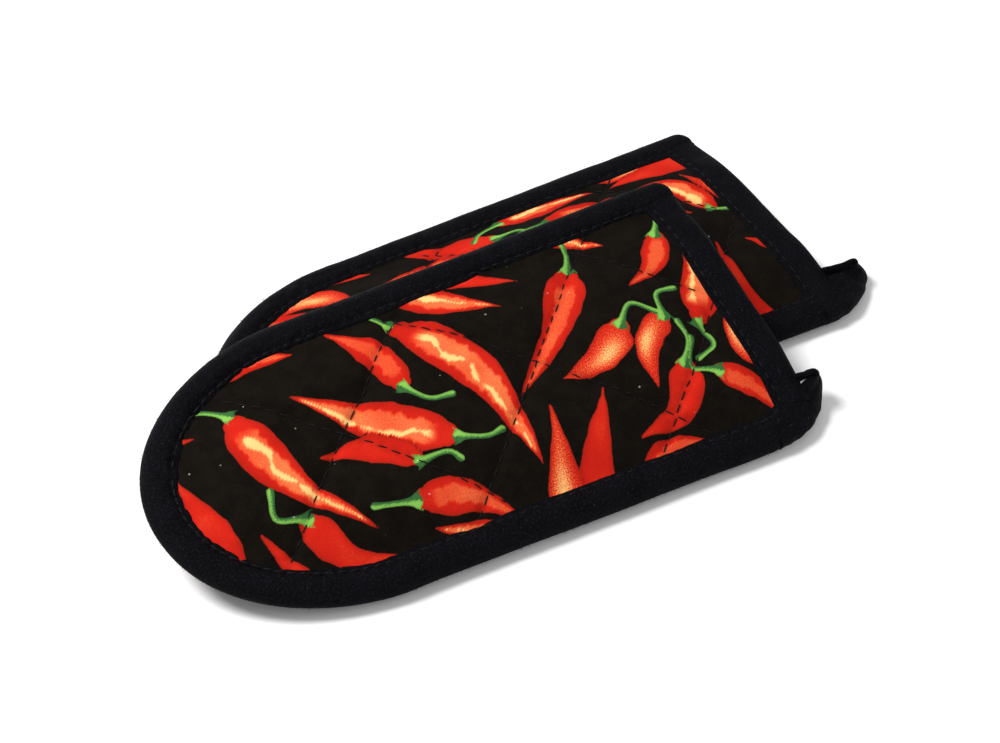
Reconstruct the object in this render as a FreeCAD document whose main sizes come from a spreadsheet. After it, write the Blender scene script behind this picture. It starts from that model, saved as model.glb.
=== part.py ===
import FreeCAD, Part
import Sketcher
import math
import os
from FreeCAD import Placement, Rotation, Vector

# A pair of quilted pan-handle mitts. One lies flat, the other lies partly on top of it.
# Each mitt is a flat sleeve: a round closed end at x = 0 and an open mouth, cut almost square, at the
# far end. The sides spread a little towards the mouth.
# Mitt frame: x runs from the closed end to the mouth, y across, z up from the underside.
# Row frame: origin under the middle of the flat (rear) mitt, +Z up, units mm.

os.makedirs("parts", exist_ok=True)
doc = FreeCAD.newDocument("PanHandleMitts")

DIMENSIONS = [
    ("mouth_width", 78.0),         # across the bound edges at the mouth
    ("end_width", 74.0),           # across the bound edges where the closed end begins
    ("mitt_length", 152.0),        # closed end to the middle of the mouth
    ("end_reach", 46.0),           # length of the half-elliptical closed end
    ("mouth_slant", 1.5),          # degrees the mouth is cut off square
    ("tape_width", 8.5),           # visible width of every binding tape
    ("tape_thick", 0.7),           # binding tape around the sides and the closed end
    ("tape_round", 2.3),           # rounding of the bound edge
    ("mouth_tape", 0.5),           # binding tape round each mouth edge
    ("cloth_inset", 1.4),          # raw cloth edge inside the tape fold
    ("shoulder_inset", 20.0),      # where the raised middle of the top becomes level
    ("cloth_thick", 0.35),         # printed cotton and lining cotton
    ("base_wadding", 1.0),         # wadding of the underside
    ("rim_wadding", 1.5),          # wadding of the top where the tape squeezes it
    ("crown_wadding", 1.7),        # wadding of the top in the middle
    ("pocket_height", 6.8),        # free height between the two linings in the middle
    ("mouth_ease", 0.5),           # mouth tape ends this far inside the edge tape
    ("thread_thick", 0.2),
    ("thread_width", 0.5),
    ("seam_inset", 1.0),           # stitch row to the inner edge of the tape
    ("quilt_pitch", 34.4),         # between parallel quilting rows
    ("quilt_angle", 45.0),         # quilting rows to the mitt axis
    ("quilt_start", 45.6),         # a crossing of two quilting rows, along the mitt
    ("quilt_side", 1.2),           # the same crossing, across the mitt
    ("loop_reach", 9.0),           # how far the hanging loop stands out of the mouth
    ("loop_span", 17.0),           # hanging loop along the mouth
    ("loop_band", 2.4),            # width of the folded loop tape
    ("loop_thick", 2.4),           # thickness of the folded loop tape
    ("loop_gap", 0.4),             # free gap between the loop and its tack
    ("loop_height", 2.6),          # middle of the loop above the underside
    ("tack_reach", 1.0),           # sewn tape end that holds the loop
    ("front_back_step", -27.5),    # front mitt along x from the rear mitt
    ("front_side_step", -28.4),    # front mitt along y from the rear mitt
    ("front_lift", 9.9),           # axis of the front mitt above the rest plane
    ("front_tilt", 15.5),          # degrees the front mitt leans on the rear one
    ("front_turn", -0.8),          # degrees the front mitt is turned in plan
]

sheet = doc.addObject("Spreadsheet::Sheet", "Dimensions")
for row, (alias, value) in enumerate(DIMENSIONS, start=1):
    sheet.set("A%d" % row, alias)
    sheet.set("B%d" % row, str(value))
    sheet.setAlias("B%d" % row, alias)

# Heights of every face, from the underside of the mitt.
HEIGHTS = [
    ("sole_shell", "=tape_thick"),
    ("sole_wadding", "=sole_shell + cloth_thick"),
    ("sole_lining", "=sole_wadding + base_wadding"),
    ("split", "=sole_lining + cloth_thick"),
    ("rim_wadding_low", "=split + cloth_thick"),
    ("rim_wadding_top", "=rim_wadding_low + rim_wadding"),
    ("rim_top", "=rim_wadding_top + cloth_thick"),
    ("edge_top", "=rim_top + tape_thick"),
    ("crown_lining", "=split + pocket_height"),
    ("crown_wadding_low", "=crown_lining + cloth_thick"),
    ("crown_wadding_top", "=crown_wadding_low + crown_wadding"),
    ("crown_top", "=crown_wadding_top + cloth_thick"),
    ("seam_line", "=tape_width - seam_inset"),
    ("panel_reach", "=mitt_length - mouth_tape"),
]
for row, (alias, formula) in enumerate(HEIGHTS, start=len(DIMENSIONS) + 1):
    sheet.set("A%d" % row, alias)
    sheet.set("B%d" % row, formula)
    sheet.setAlias("B%d" % row, alias)
doc.recompute()


def size(alias):
    return float(sheet.get(alias))


def ref(text):
    """Write an expression on the sheet's aliases as a document expression."""
    words = [alias for alias, _ in DIMENSIONS] + [alias for alias, _ in HEIGHTS]
    for word in sorted(words, key=len, reverse=True):
        text = text.replace("#" + word + "#", "Dimensions." + word)
    return text


def origin_plane(body, role):
    return [item for item in body.Origin.OriginFeatures if item.Role == role][0]


def new_body(label):
    body = doc.addObject("PartDesign::Body", label)
    body.Label = label
    return body


def bind(sketch, index, name, formula):
    sketch.renameConstraint(index, name)
    sketch.setExpression("Constraints." + name, ref(formula))


def outline(body, name, inset, height, reach="#mitt_length#"):
    """Closed U outline of the mitt, drawn in from its edge by inset, at a height."""
    sketch = body.newObject("Sketcher::SketchObject", name)
    sketch.AttachmentSupport = [(origin_plane(body, "XY_Plane"), "")]
    sketch.MapMode = "FlatFace"
    sketch.setExpression("AttachmentOffset.Base.z", ref(height))
    half = size("end_width") / 2 - 8
    centre = size("end_reach")
    far = size("mitt_length")
    ellipse = Part.Ellipse(Vector(centre + half + 8, 0, 0), Vector(centre, half, 0), Vector(centre, 0, 0))
    arc = sketch.addGeometry(Part.ArcOfEllipse(ellipse, math.pi / 2, 3 * math.pi / 2))
    sketch.exposeInternalGeometry(arc)
    major = arc + 1
    minor = arc + 2
    upper = sketch.addGeometry(Part.LineSegment(Vector(centre, half, 0), Vector(far - 4, half, 0)))
    lower = sketch.addGeometry(Part.LineSegment(Vector(centre, -half, 0), Vector(far + 4, -half, 0)))
    mouth = sketch.addGeometry(Part.LineSegment(Vector(far - 4, half, 0), Vector(far + 4, -half, 0)))
    join = Sketcher.Constraint
    sketch.addConstraint(join("PointOnObject", arc, 3, -1))
    sketch.addConstraint(join("Horizontal", major))
    sketch.addConstraint(join("Coincident", upper, 1, arc, 1))
    sketch.addConstraint(join("Coincident", lower, 1, arc, 2))
    sketch.addConstraint(join("Vertical", upper, 1, arc, 3))
    sketch.addConstraint(join("Vertical", lower, 1, arc, 3))
    sketch.addConstraint(join("Coincident", mouth, 1, upper, 2))
    sketch.addConstraint(join("Coincident", mouth, 2, lower, 2))
    half_end = "(#end_width# / 2 - " + inset + ")"
    half_span = "(#mouth_width# / 2 - " + inset + ")"
    swing = half_span + " * tan(#mouth_slant# * 1 deg)"
    at = sketch.addConstraint(join("DistanceX", -1, 1, arc, 3, centre))
    bind(sketch, at, "centre", "#end_reach#")
    at = sketch.addConstraint(join("Distance", major, 2 * (half + 8)))
    bind(sketch, at, "major", "2 * (#end_reach# - " + inset + ")")
    at = sketch.addConstraint(join("Distance", minor, 2 * half))
    bind(sketch, at, "minor", "2 * " + half_end)
    at = sketch.addConstraint(join("DistanceY", -1, 1, upper, 2, half))
    bind(sketch, at, "far_side", half_span)
    at = sketch.addConstraint(join("DistanceY", lower, 2, -1, 1, half))
    bind(sketch, at, "near_side", half_span)
    at = sketch.addConstraint(join("DistanceX", -1, 1, upper, 2, far - 4))
    bind(sketch, at, "far_corner", reach + " - " + swing)
    at = sketch.addConstraint(join("DistanceX", -1, 1, lower, 2, far + 4))
    bind(sketch, at, "near_corner", reach + " + " + swing)
    return sketch


def pad(body, name, sketch, length):
    item = body.newObject("PartDesign::Pad", name)
    item.Profile = sketch
    item.setExpression("Length", ref(length))
    return item


def cut(body, name, sketch, length):
    """Pocket that runs upward from its sketch."""
    item = body.newObject("PartDesign::Pocket", name)
    item.Profile = sketch
    item.Reversed = True
    item.setExpression("Length", ref(length))
    return item


def ramp(body, kind, name, first, second):
    item = body.newObject("PartDesign::" + kind, name)
    item.Profile = first
    item.Sections = [second]
    item.Ruled = True
    return item


def flat_layer(label, low, high):
    """One level cloth or wadding layer of the underside."""
    body = new_body(label)
    edge = outline(body, label + "_edge", "#cloth_inset#", low, "#panel_reach#")
    pad(body, label + "_sheet", edge, high + " - " + low)
    return body


def raised_layer(label, rim_low, rim_high, mid_low, mid_high, edge_inset="#cloth_inset#"):
    """One layer of the top: level under the tape, a sloped shoulder, then a level middle."""
    body = new_body(label)
    reach = "#panel_reach#"
    edge = outline(body, label + "_edge", edge_inset, rim_low, reach)
    pad(body, label + "_rim", edge, rim_high + " - " + rim_low)
    top_foot = outline(body, label + "_top_foot", "#tape_width#", rim_high, reach)
    top_head = outline(body, label + "_top_head", "#shoulder_inset#", mid_high, reach)
    ramp(body, "AdditiveLoft", label + "_rise", top_foot, top_head)
    low_foot = outline(body, label + "_low_foot", "#tape_width#", rim_low, reach)
    low_head = outline(body, label + "_low_head", "#shoulder_inset#", mid_low, reach)
    ramp(body, "SubtractiveLoft", label + "_hollow", low_foot, low_head)
    return body


def mouth_profile(body, name, points, reach):
    """Closed polygon in the plane of the mouth; points are (inset, side, height) texts."""
    sketch = body.newObject("Sketcher::SketchObject", name)
    sketch.AttachmentSupport = [(origin_plane(body, "YZ_Plane"), "")]
    sketch.MapMode = "FlatFace"
    slant = Rotation(Vector(0, 1, 0), size("mouth_slant"))
    sketch.AttachmentOffset = Placement(Vector(0, 0, 0), slant)
    sketch.setExpression("AttachmentOffset.Base.z", ref(reach))
    sketch.setExpression("AttachmentOffset.Rotation.Angle", ref("#mouth_slant# * 1 deg"))
    doc.recompute()
    spots = []
    for inset, side, height in points:
        half = (size("mouth_width") / 2 - evaluate(inset)) / math.cos(math.radians(size("mouth_slant")))
        spots.append(Vector(side * half, evaluate(height), 0))
    count = len(spots)
    for number in range(count):
        sketch.addGeometry(Part.LineSegment(spots[number], spots[(number + 1) % count]))
    for number in range(count):
        sketch.addConstraint(Sketcher.Constraint("Coincident", number, 2, (number + 1) % count, 1))
    for number, (inset, side, height) in enumerate(points):
        spot = spots[number]
        across = "(#mouth_width# / 2 - " + inset + ") / cos(#mouth_slant# * 1 deg)"
        if side > 0:
            at = sketch.addConstraint(Sketcher.Constraint("DistanceX", -1, 1, number, 1, spot.x))
        else:
            at = sketch.addConstraint(Sketcher.Constraint("DistanceX", number, 1, -1, 1, -spot.x))
        bind(sketch, at, "across_%d" % number, across)
        at = sketch.addConstraint(Sketcher.Constraint("DistanceY", -1, 1, number, 1, spot.y))
        bind(sketch, at, "height_%d" % number, height)
    return sketch


def evaluate(text):
    """Number that an expression on the sheet's aliases stands for."""
    plain = ref(text)
    return float(sheet.evalExpression(plain.replace("Dimensions.", "")))


def pad_inward(body, name, sketch, length):
    """Pad that runs along -x, away from the mouth."""
    item = body.newObject("PartDesign::Pad", name)
    item.Profile = sketch
    item.UseCustomVector = True
    item.Direction = Vector(-1, 0, 0)
    item.AlongSketchNormal = False
    item.setExpression("Length", ref(length))
    return item


def band(foot_low, head_low, foot_high, head_high,
         foot="(#tape_width# + #mouth_ease#)", head="#shoulder_inset#"):
    """Corner list of a strip that follows the raised profile of the top."""
    return [
        (foot, -1, foot_low), (head, -1, head_low), (head, 1, head_low), (foot, 1, foot_low),
        (foot, 1, foot_high), (head, 1, head_high), (head, -1, head_high), (foot, -1, foot_high),
    ]


def plain_band(low, high, inset="(#tape_width# + #mouth_ease#)"):
    return [(inset, -1, low), (inset, 1, low), (inset, 1, high), (inset, -1, high)]


def build_mitt(side):
    made = []
    made.append(flat_layer(side + "_bottom_shell", "#sole_shell#", "#sole_wadding#"))
    made.append(flat_layer(side + "_bottom_batting", "#sole_wadding#", "#sole_lining#"))
    made.append(flat_layer(side + "_bottom_lining", "#sole_lining#", "#split#"))
    made.append(raised_layer(side + "_top_lining", "#split#", "#rim_wadding_low#",
                             "#crown_lining#", "#crown_wadding_low#"))
    made.append(raised_layer(side + "_top_batting", "#rim_wadding_low#", "#rim_wadding_top#",
                             "#crown_wadding_low#", "#crown_wadding_top#"))
    made.append(raised_layer(side + "_top_shell", "#rim_wadding_top#", "#rim_top#",
                             "#crown_wadding_top#", "#crown_top#"))
    made.append(edge_binding(side))
    made.append(edge_stitching(side))
    made.append(mouth_binding_top(side))
    made.append(mouth_binding_bottom(side))
    made.append(mouth_stitching_top(side))
    made.append(mouth_stitching_bottom(side))
    made.append(quilting(side, "top"))
    made.append(quilting(side, "bottom"))
    made.append(hang_loop(side))
    made.append(loop_tack(side))
    return made


def edge_binding(side):
    """Tape folded round the sides and the closed end, with a groove for the cloth edges."""
    label = side + "_edge_binding"
    body = new_body(label)
    block = pad(body, label + "_block", outline(body, label + "_outer", "0", "0"), "#edge_top#")
    doc.recompute()
    names = []
    slope = math.tan(math.radians(size("mouth_slant")))
    for number, edge in enumerate(block.Shape.Edges, start=1):
        box = edge.BoundBox
        middle = edge.valueAt((edge.FirstParameter + edge.LastParameter) / 2)
        level = box.ZMax - box.ZMin < 1e-6
        at_mouth = abs(middle.x - (size("mitt_length") - middle.y * slope)) < 0.01
        if level and not at_mouth:
            names.append("Edge%d" % number)
    rounding = body.newObject("PartDesign::Fillet", label + "_rounding")
    rounding.Base = (block, names)
    rounding.setExpression("Radius", ref("#tape_round#"))
    groove = outline(body, label + "_groove_edge", "#cloth_inset#", "#tape_thick#")
    cut(body, label + "_groove", groove, "#edge_top# - 2 * #tape_thick#")
    window = outline(body, label + "_window_edge", "#tape_width#", "0")
    cut(body, label + "_window", window, "#edge_top#")
    return body


def edge_stitching(side):
    """Stitch row along the inner edge of the tape, on its upper face."""
    label = side + "_edge_stitching"
    body = new_body(label)
    outer = outline(body, label + "_outer", "(#seam_line# - #thread_width#)", "#edge_top#", "#panel_reach#")
    pad(body, label + "_row", outer, "#thread_thick#")
    inner = outline(body, label + "_inner", "#seam_line#", "#edge_top#", "#panel_reach#")
    cut(body, label + "_inside", inner, "#thread_thick#")
    return body


# How far the raised top has climbed where the mouth tape ends.
LIP_FOOT = "#rim_top# + #mouth_ease# * (#crown_top# - #rim_top#) / (#shoulder_inset# - #tape_width#)"


def mouth_binding_top(side):
    label = side + "_top_mouth_binding"
    body = new_body(label)
    tape = "#mouth_tape#"
    end = [
        ("#cloth_inset#", -1, "#split#"), ("#tape_width#", -1, "#split#"),
        ("#shoulder_inset#", -1, "#crown_lining# - " + tape),
        ("#shoulder_inset#", 1, "#crown_lining# - " + tape),
        ("#tape_width#", 1, "#split#"), ("#cloth_inset#", 1, "#split#"),
        ("#cloth_inset#", 1, "#rim_top#"), ("#tape_width#", 1, "#rim_top#"),
        ("#tape_width#", 1, "#rim_top# + " + tape), ("#shoulder_inset#", 1, "#crown_top# + " + tape),
        ("#shoulder_inset#", -1, "#crown_top# + " + tape), ("#tape_width#", -1, "#rim_top# + " + tape),
        ("#tape_width#", -1, "#rim_top#"), ("#cloth_inset#", -1, "#rim_top#"),
    ]
    pad_inward(body, label + "_fold", mouth_profile(body, label + "_end", end, "#mitt_length#"), tape)
    outer = band(LIP_FOOT, "#crown_top#", LIP_FOOT + " + " + tape, "#crown_top# + " + tape)
    pad_inward(body, label + "_outer_lip", mouth_profile(body, label + "_outer", outer, "#mitt_length#"),
               "#tape_width#")
    foot = "(#tape_width# + #mouth_ease# + 1.2)"
    head = "(#shoulder_inset# + #mouth_ease#)"
    foot_height = "#split# + (#crown_lining# - #split#) * 1.2 / (#shoulder_inset# - #tape_width#)"
    inner = [
        (foot, -1, "#split# + 0.1"), (head, -1, "#crown_lining# - " + tape),
        (head, 1, "#crown_lining# - " + tape), (foot, 1, "#split# + 0.1"),
        (foot, 1, foot_height), (head, 1, "#crown_lining#"),
        (head, -1, "#crown_lining#"), (foot, -1, foot_height),
    ]
    pad_inward(body, label + "_inner_lip", mouth_profile(body, label + "_inner", inner, "#mitt_length#"),
               "#tape_width#")
    return body


def mouth_binding_bottom(side):
    label = side + "_bottom_mouth_binding"
    body = new_body(label)
    tape = "#mouth_tape#"
    end = [
        ("#cloth_inset#", -1, "#sole_shell#"), ("#tape_width#", -1, "#sole_shell#"),
        ("#tape_width#", -1, "#sole_shell# - " + tape), ("#tape_width#", 1, "#sole_shell# - " + tape),
        ("#tape_width#", 1, "#sole_shell#"), ("#cloth_inset#", 1, "#sole_shell#"),
        ("#cloth_inset#", 1, "#split#"), ("(#tape_width# + 3)", 1, "#split#"),
        ("(#tape_width# + 3)", 1, "#split# + " + tape), ("(#tape_width# + 3)", -1, "#split# + " + tape),
        ("(#tape_width# + 3)", -1, "#split#"), ("#cloth_inset#", -1, "#split#"),
    ]
    pad_inward(body, label + "_fold", mouth_profile(body, label + "_end", end, "#mitt_length#"), tape)
    outer = plain_band("#sole_shell# - " + tape, "#sole_shell#")
    pad_inward(body, label + "_outer_lip", mouth_profile(body, label + "_outer", outer, "#mitt_length#"),
               "#tape_width#")
    inner = plain_band("#split#", "#split# + " + tape, "(#tape_width# + 3)")
    pad_inward(body, label + "_inner_lip", mouth_profile(body, label + "_inner", inner, "#mitt_length#"),
               "#tape_width#")
    return body


def mouth_stitching_top(side):
    label = side + "_top_mouth_stitching"
    body = new_body(label)
    tape = "#mouth_tape#"
    row = band(LIP_FOOT + " + " + tape, "#crown_top# + " + tape,
               LIP_FOOT + " + " + tape + " + #thread_thick#", "#crown_top# + " + tape + " + #thread_thick#")
    profile = mouth_profile(body, label + "_profile", row, "(#mitt_length# - #seam_line# + #thread_width#)")
    pad_inward(body, label + "_row", profile, "#thread_width#")
    return body


def mouth_stitching_bottom(side):
    label = side + "_bottom_mouth_stitching"
    body = new_body(label)
    low = "#sole_shell# - #mouth_tape# - #thread_thick#"
    profile = mouth_profile(body, label + "_profile", plain_band(low, "#sole_shell# - #mouth_tape#"),
                            "(#mitt_length# - #seam_line# + #thread_width#)")
    pad_inward(body, label + "_row", profile, "#thread_width#")
    return body


def quilting(side, face):
    """Crossing rows of quilting thread on one face of the mitt."""
    label = side + "_" + face + "_quilting"
    thread = "#thread_thick#"
    if face == "top":
        skin = raised_layer(label + "_skin", "#rim_top#", "#rim_top# + " + thread,
                            "#crown_top#", "#crown_top# + " + thread, "(#tape_width# + 0.1)")
    else:
        skin = new_body(label + "_skin")
        edge = outline(skin, label + "_edge", "(#tape_width# + 0.1)", "#sole_shell# - " + thread,
                       "#panel_reach#")
        pad(skin, label + "_sheet", edge, thread)
    keep = "(#mitt_length# - #tape_width# - 0.1)"
    rows = []
    for turn in (1, -1):
        for step in range(-2, 4):
            box = doc.addObject("Part::Box", "%s_row_%s%d" % (label, "p" if turn > 0 else "n", step + 2))
            box.setExpression("Length", ref("2 * #mitt_length#"))
            box.setExpression("Width", ref("#thread_width#"))
            box.setExpression("Height", ref("2 * #crown_top#"))
            angle = "(%d * #quilt_angle#)" % turn
            box.Placement.Rotation = Rotation(Vector(0, 0, 1), turn * size("quilt_angle"))
            box.setExpression("Placement.Rotation.Angle", ref("#quilt_angle# * 1 deg"))
            if turn < 0:
                box.Placement.Rotation = Rotation(Vector(0, 0, -1), size("quilt_angle"))
            along = "#quilt_start# + %d * #quilt_pitch# / sin(#quilt_angle# * 1 deg)" % step
            cosine = "cos(%s * 1 deg)" % angle
            sine = "sin(%s * 1 deg)" % angle
            box.setExpression("Placement.Base.x", ref(along + " - #mitt_length# * " + cosine))
            box.setExpression("Placement.Base.y", ref("#quilt_side# - #mitt_length# * " + sine))
            box.setExpression("Placement.Base.z", ref("-0.5 * #crown_top#"))
            rows.append(box)
    net = doc.addObject("Part::MultiFuse", label + "_net")
    net.Shapes = rows
    clip = new_body(label + "_clip")
    limit = outline(clip, label + "_limit", "(#tape_width# + 0.1)", "0", keep)
    pad(clip, label + "_clip_block", limit, "2 * #crown_top#")
    common = doc.addObject("Part::MultiCommon", label)
    common.Shapes = [skin, net, clip]
    common.Label = label
    return common


def hang_loop(side):
    """Flat loop of folded tape past the near corner of the mouth, with a hole for a hook."""
    label = side + "_hang_loop"
    body = new_body(label)
    sketch = loop_sketch(body, label + "_outer", "0", "(#tack_reach# + #loop_gap#)")
    pad(body, label + "_band", sketch, "#loop_thick#")
    hole = loop_sketch(body, label + "_hole", "#loop_band#", "#tack_reach#")
    eye = cut(body, label + "_eye", hole, "#loop_thick#")
    doc.recompute()
    slant = math.radians(size("mouth_slant"))
    half = size("mouth_width") / 2
    corner = Vector(size("mitt_length") + math.tan(slant) * half, -half, 0)
    outward = Vector(math.cos(slant), math.sin(slant), 0)
    root = size("tack_reach") + size("loop_gap")
    names = []
    for number, edge in enumerate(eye.Shape.Edges, start=1):
        ends = [abs((spot.Point - corner).dot(outward) - root) < 0.01 for spot in edge.Vertexes]
        if all(ends) and edge.BoundBox.ZLength < 0.01:
            names.append("Edge%d" % number)
    rounding = body.newObject("PartDesign::Fillet", label + "_root_rounding")
    rounding.Base = (eye, names)
    rounding.setExpression("Radius", ref("#loop_thick# / 2 - 0.1"))
    return body


def loop_sketch(body, name, inset, root):
    """Outline with two rounded corners on the mouth line; inset leaves the band of the loop."""
    sketch = body.newObject("Sketcher::SketchObject", name)
    sketch.AttachmentSupport = [(origin_plane(body, "XY_Plane"), "")]
    sketch.MapMode = "FlatFace"
    turn = Rotation(Vector(0, 0, 1), size("mouth_slant"))
    slope = math.tan(math.radians(size("mouth_slant")))
    base = Vector(size("mitt_length") + slope * size("mouth_width") / 2, -size("mouth_width") / 2, 0)
    sketch.AttachmentOffset = Placement(base, turn)
    sketch.setExpression("AttachmentOffset.Rotation.Angle", ref("#mouth_slant# * 1 deg"))
    sketch.setExpression("AttachmentOffset.Base.x",
                         ref("#mitt_length# + #mouth_width# / 2 * tan(#mouth_slant# * 1 deg)"))
    sketch.setExpression("AttachmentOffset.Base.y", ref("-#mouth_width# / 2"))
    sketch.setExpression("AttachmentOffset.Base.z", ref("#loop_height# - #loop_thick# / 2"))
    tip = "(#loop_reach# - " + inset + ")"
    low = "(0.8 + " + inset + ")"
    high = "(#loop_span# - " + inset + ")"
    low_value = evaluate(low)
    high_value = evaluate(high)
    root_value = evaluate(root)
    tip_value = evaluate(tip)
    round_text = "(#loop_reach# / 2 - " + inset + " / 2)"
    radius = evaluate(round_text)
    half_pi = math.pi / 2
    a = sketch.addGeometry(Part.LineSegment(Vector(root_value, low_value, 0),
                                            Vector(tip_value - radius, low_value, 0)))
    corner_low = Part.Circle(Vector(tip_value - radius, low_value + radius, 0), Vector(0, 0, 1), radius)
    b = sketch.addGeometry(Part.ArcOfCircle(corner_low, -half_pi, 0))
    c = sketch.addGeometry(Part.LineSegment(Vector(tip_value, low_value + radius, 0),
                                            Vector(tip_value, high_value - radius, 0)))
    corner_high = Part.Circle(Vector(tip_value - radius, high_value - radius, 0), Vector(0, 0, 1), radius)
    d = sketch.addGeometry(Part.ArcOfCircle(corner_high, 0, half_pi))
    e = sketch.addGeometry(Part.LineSegment(Vector(tip_value - radius, high_value, 0),
                                            Vector(root_value, high_value, 0)))
    f = sketch.addGeometry(Part.LineSegment(Vector(root_value, high_value, 0),
                                            Vector(root_value, low_value, 0)))
    join = Sketcher.Constraint
    sketch.addConstraint(join("Tangent", a, 2, b, 1))
    sketch.addConstraint(join("Tangent", b, 2, c, 1))
    sketch.addConstraint(join("Tangent", c, 2, d, 1))
    sketch.addConstraint(join("Tangent", d, 2, e, 1))
    sketch.addConstraint(join("Coincident", e, 2, f, 1))
    sketch.addConstraint(join("Coincident", f, 2, a, 1))
    sketch.addConstraint(join("Horizontal", a))
    sketch.addConstraint(join("Horizontal", e))
    sketch.addConstraint(join("Vertical", f))
    at = sketch.addConstraint(join("Radius", b, radius))
    bind(sketch, at, "round_low", round_text)
    at = sketch.addConstraint(join("Radius", d, radius))
    bind(sketch, at, "round_high", round_text)
    at = sketch.addConstraint(join("DistanceX", -1, 1, a, 1, root_value))
    bind(sketch, at, "root", root)
    at = sketch.addConstraint(join("DistanceY", -1, 1, a, 1, low_value))
    bind(sketch, at, "low", low)
    at = sketch.addConstraint(join("DistanceY", -1, 1, e, 2, high_value))
    bind(sketch, at, "high", high)
    at = sketch.addConstraint(join("DistanceX", -1, 1, c, 2, tip_value))
    bind(sketch, at, "tip", tip)
    return sketch


def loop_tack(side):
    """Sewn tape ends at the mouth that hold the loop."""
    label = side + "_loop_tack"
    body = new_body(label)
    sketch = body.newObject("Sketcher::SketchObject", label + "_ends")
    sketch.AttachmentSupport = [(origin_plane(body, "XY_Plane"), "")]
    sketch.MapMode = "FlatFace"
    slope = math.tan(math.radians(size("mouth_slant")))
    base = Vector(size("mitt_length") + slope * size("mouth_width") / 2, -size("mouth_width") / 2, 0)
    sketch.AttachmentOffset = Placement(base, Rotation(Vector(0, 0, 1), size("mouth_slant")))
    sketch.setExpression("AttachmentOffset.Rotation.Angle", ref("#mouth_slant# * 1 deg"))
    sketch.setExpression("AttachmentOffset.Base.x",
                         ref("#mitt_length# + #mouth_width# / 2 * tan(#mouth_slant# * 1 deg)"))
    sketch.setExpression("AttachmentOffset.Base.y", ref("-#mouth_width# / 2"))
    sketch.setExpression("AttachmentOffset.Base.z", ref("#loop_height# - #loop_thick# / 2"))
    join = Sketcher.Constraint
    for number, (low, high) in enumerate((("1.8", "(0.8 + #loop_band#)"),
                                          ("(#loop_span# - #loop_band#)", "#loop_span#"))):
        low_value = evaluate(low)
        high_value = evaluate(high)
        reach = evaluate("#tack_reach#")
        corners = [Vector(0, low_value, 0), Vector(reach, low_value, 0),
                   Vector(reach, high_value, 0), Vector(0, high_value, 0)]
        start = 4 * number
        for step in range(4):
            sketch.addGeometry(Part.LineSegment(corners[step], corners[(step + 1) % 4]))
        for step in range(4):
            sketch.addConstraint(join("Coincident", start + step, 2, start + (step + 1) % 4, 1))
        sketch.addConstraint(join("Horizontal", start))
        sketch.addConstraint(join("Horizontal", start + 2))
        sketch.addConstraint(join("Vertical", start + 1))
        sketch.addConstraint(join("PointOnObject", start + 3, 2, -2))
        sketch.addConstraint(join("Vertical", start + 3))
        at = sketch.addConstraint(join("DistanceX", -1, 1, start, 2, reach))
        bind(sketch, at, "reach_%d" % number, "#tack_reach#")
        at = sketch.addConstraint(join("DistanceY", -1, 1, start, 1, low_value))
        bind(sketch, at, "low_%d" % number, low)
        at = sketch.addConstraint(join("DistanceY", -1, 1, start + 2, 1, high_value))
        bind(sketch, at, "high_%d" % number, high)
    pad(body, label + "_ends_pad", sketch, "#loop_thick#")
    return body


rear = build_mitt("rear")
front = build_mitt("front")
doc.recompute()

half_length = size("mitt_length") / 2
rear_place = Placement(Vector(-half_length, 0, 0), Rotation())
turned = Rotation(Vector(0, 0, 1), size("front_turn"))
lean = turned.multiply(Rotation(Vector(1, 0, 0), size("front_tilt")))
front_spot = Vector(size("front_back_step") - half_length, size("front_side_step"), size("front_lift"))
front_place = Placement(front_spot, lean)
for item in rear:
    item.Placement = rear_place
for item in front:
    item.Placement = front_place
doc.recompute()

for item in doc.Objects:
    if "Invalid" in item.State or "Error" in item.State:
        raise RuntimeError("feature %s does not build: %s" % (item.Name, item.State))
for item in rear + front:
    shape = item.Shape
    if shape.isNull() or not shape.isValid() or not shape.Solids:
        raise RuntimeError("sub-part %s has no sound solid" % item.Label)
    shape.exportStep("parts/%s.step" % item.Label)
    print("%-30s solids %2d volume %9.1f" % (item.Label, len(shape.Solids), shape.Volume))
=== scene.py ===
import math
import bpy
import numpy as np
from mathutils import Matrix, Vector


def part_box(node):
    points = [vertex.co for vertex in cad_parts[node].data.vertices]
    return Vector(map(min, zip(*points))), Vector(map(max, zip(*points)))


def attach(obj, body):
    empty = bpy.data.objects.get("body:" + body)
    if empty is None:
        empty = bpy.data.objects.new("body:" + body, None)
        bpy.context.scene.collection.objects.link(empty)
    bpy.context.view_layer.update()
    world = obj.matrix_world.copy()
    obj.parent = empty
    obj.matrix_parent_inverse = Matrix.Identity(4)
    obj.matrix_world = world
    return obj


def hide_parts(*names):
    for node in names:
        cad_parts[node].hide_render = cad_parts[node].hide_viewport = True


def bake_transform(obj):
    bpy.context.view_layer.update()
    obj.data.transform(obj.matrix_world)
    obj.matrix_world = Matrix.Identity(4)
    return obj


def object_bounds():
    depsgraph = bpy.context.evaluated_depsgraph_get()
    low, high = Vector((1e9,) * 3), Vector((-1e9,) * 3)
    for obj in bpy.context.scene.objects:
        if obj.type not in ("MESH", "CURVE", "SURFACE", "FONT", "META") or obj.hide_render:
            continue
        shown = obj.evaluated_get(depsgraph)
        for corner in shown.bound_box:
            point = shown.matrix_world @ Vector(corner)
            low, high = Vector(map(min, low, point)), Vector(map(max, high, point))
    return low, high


# A pair of quilted pan-handle mitts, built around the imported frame.
# Mitt coordinates are millimetres: x from the closed end to the mouth, y across, z up from the underside.

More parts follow.
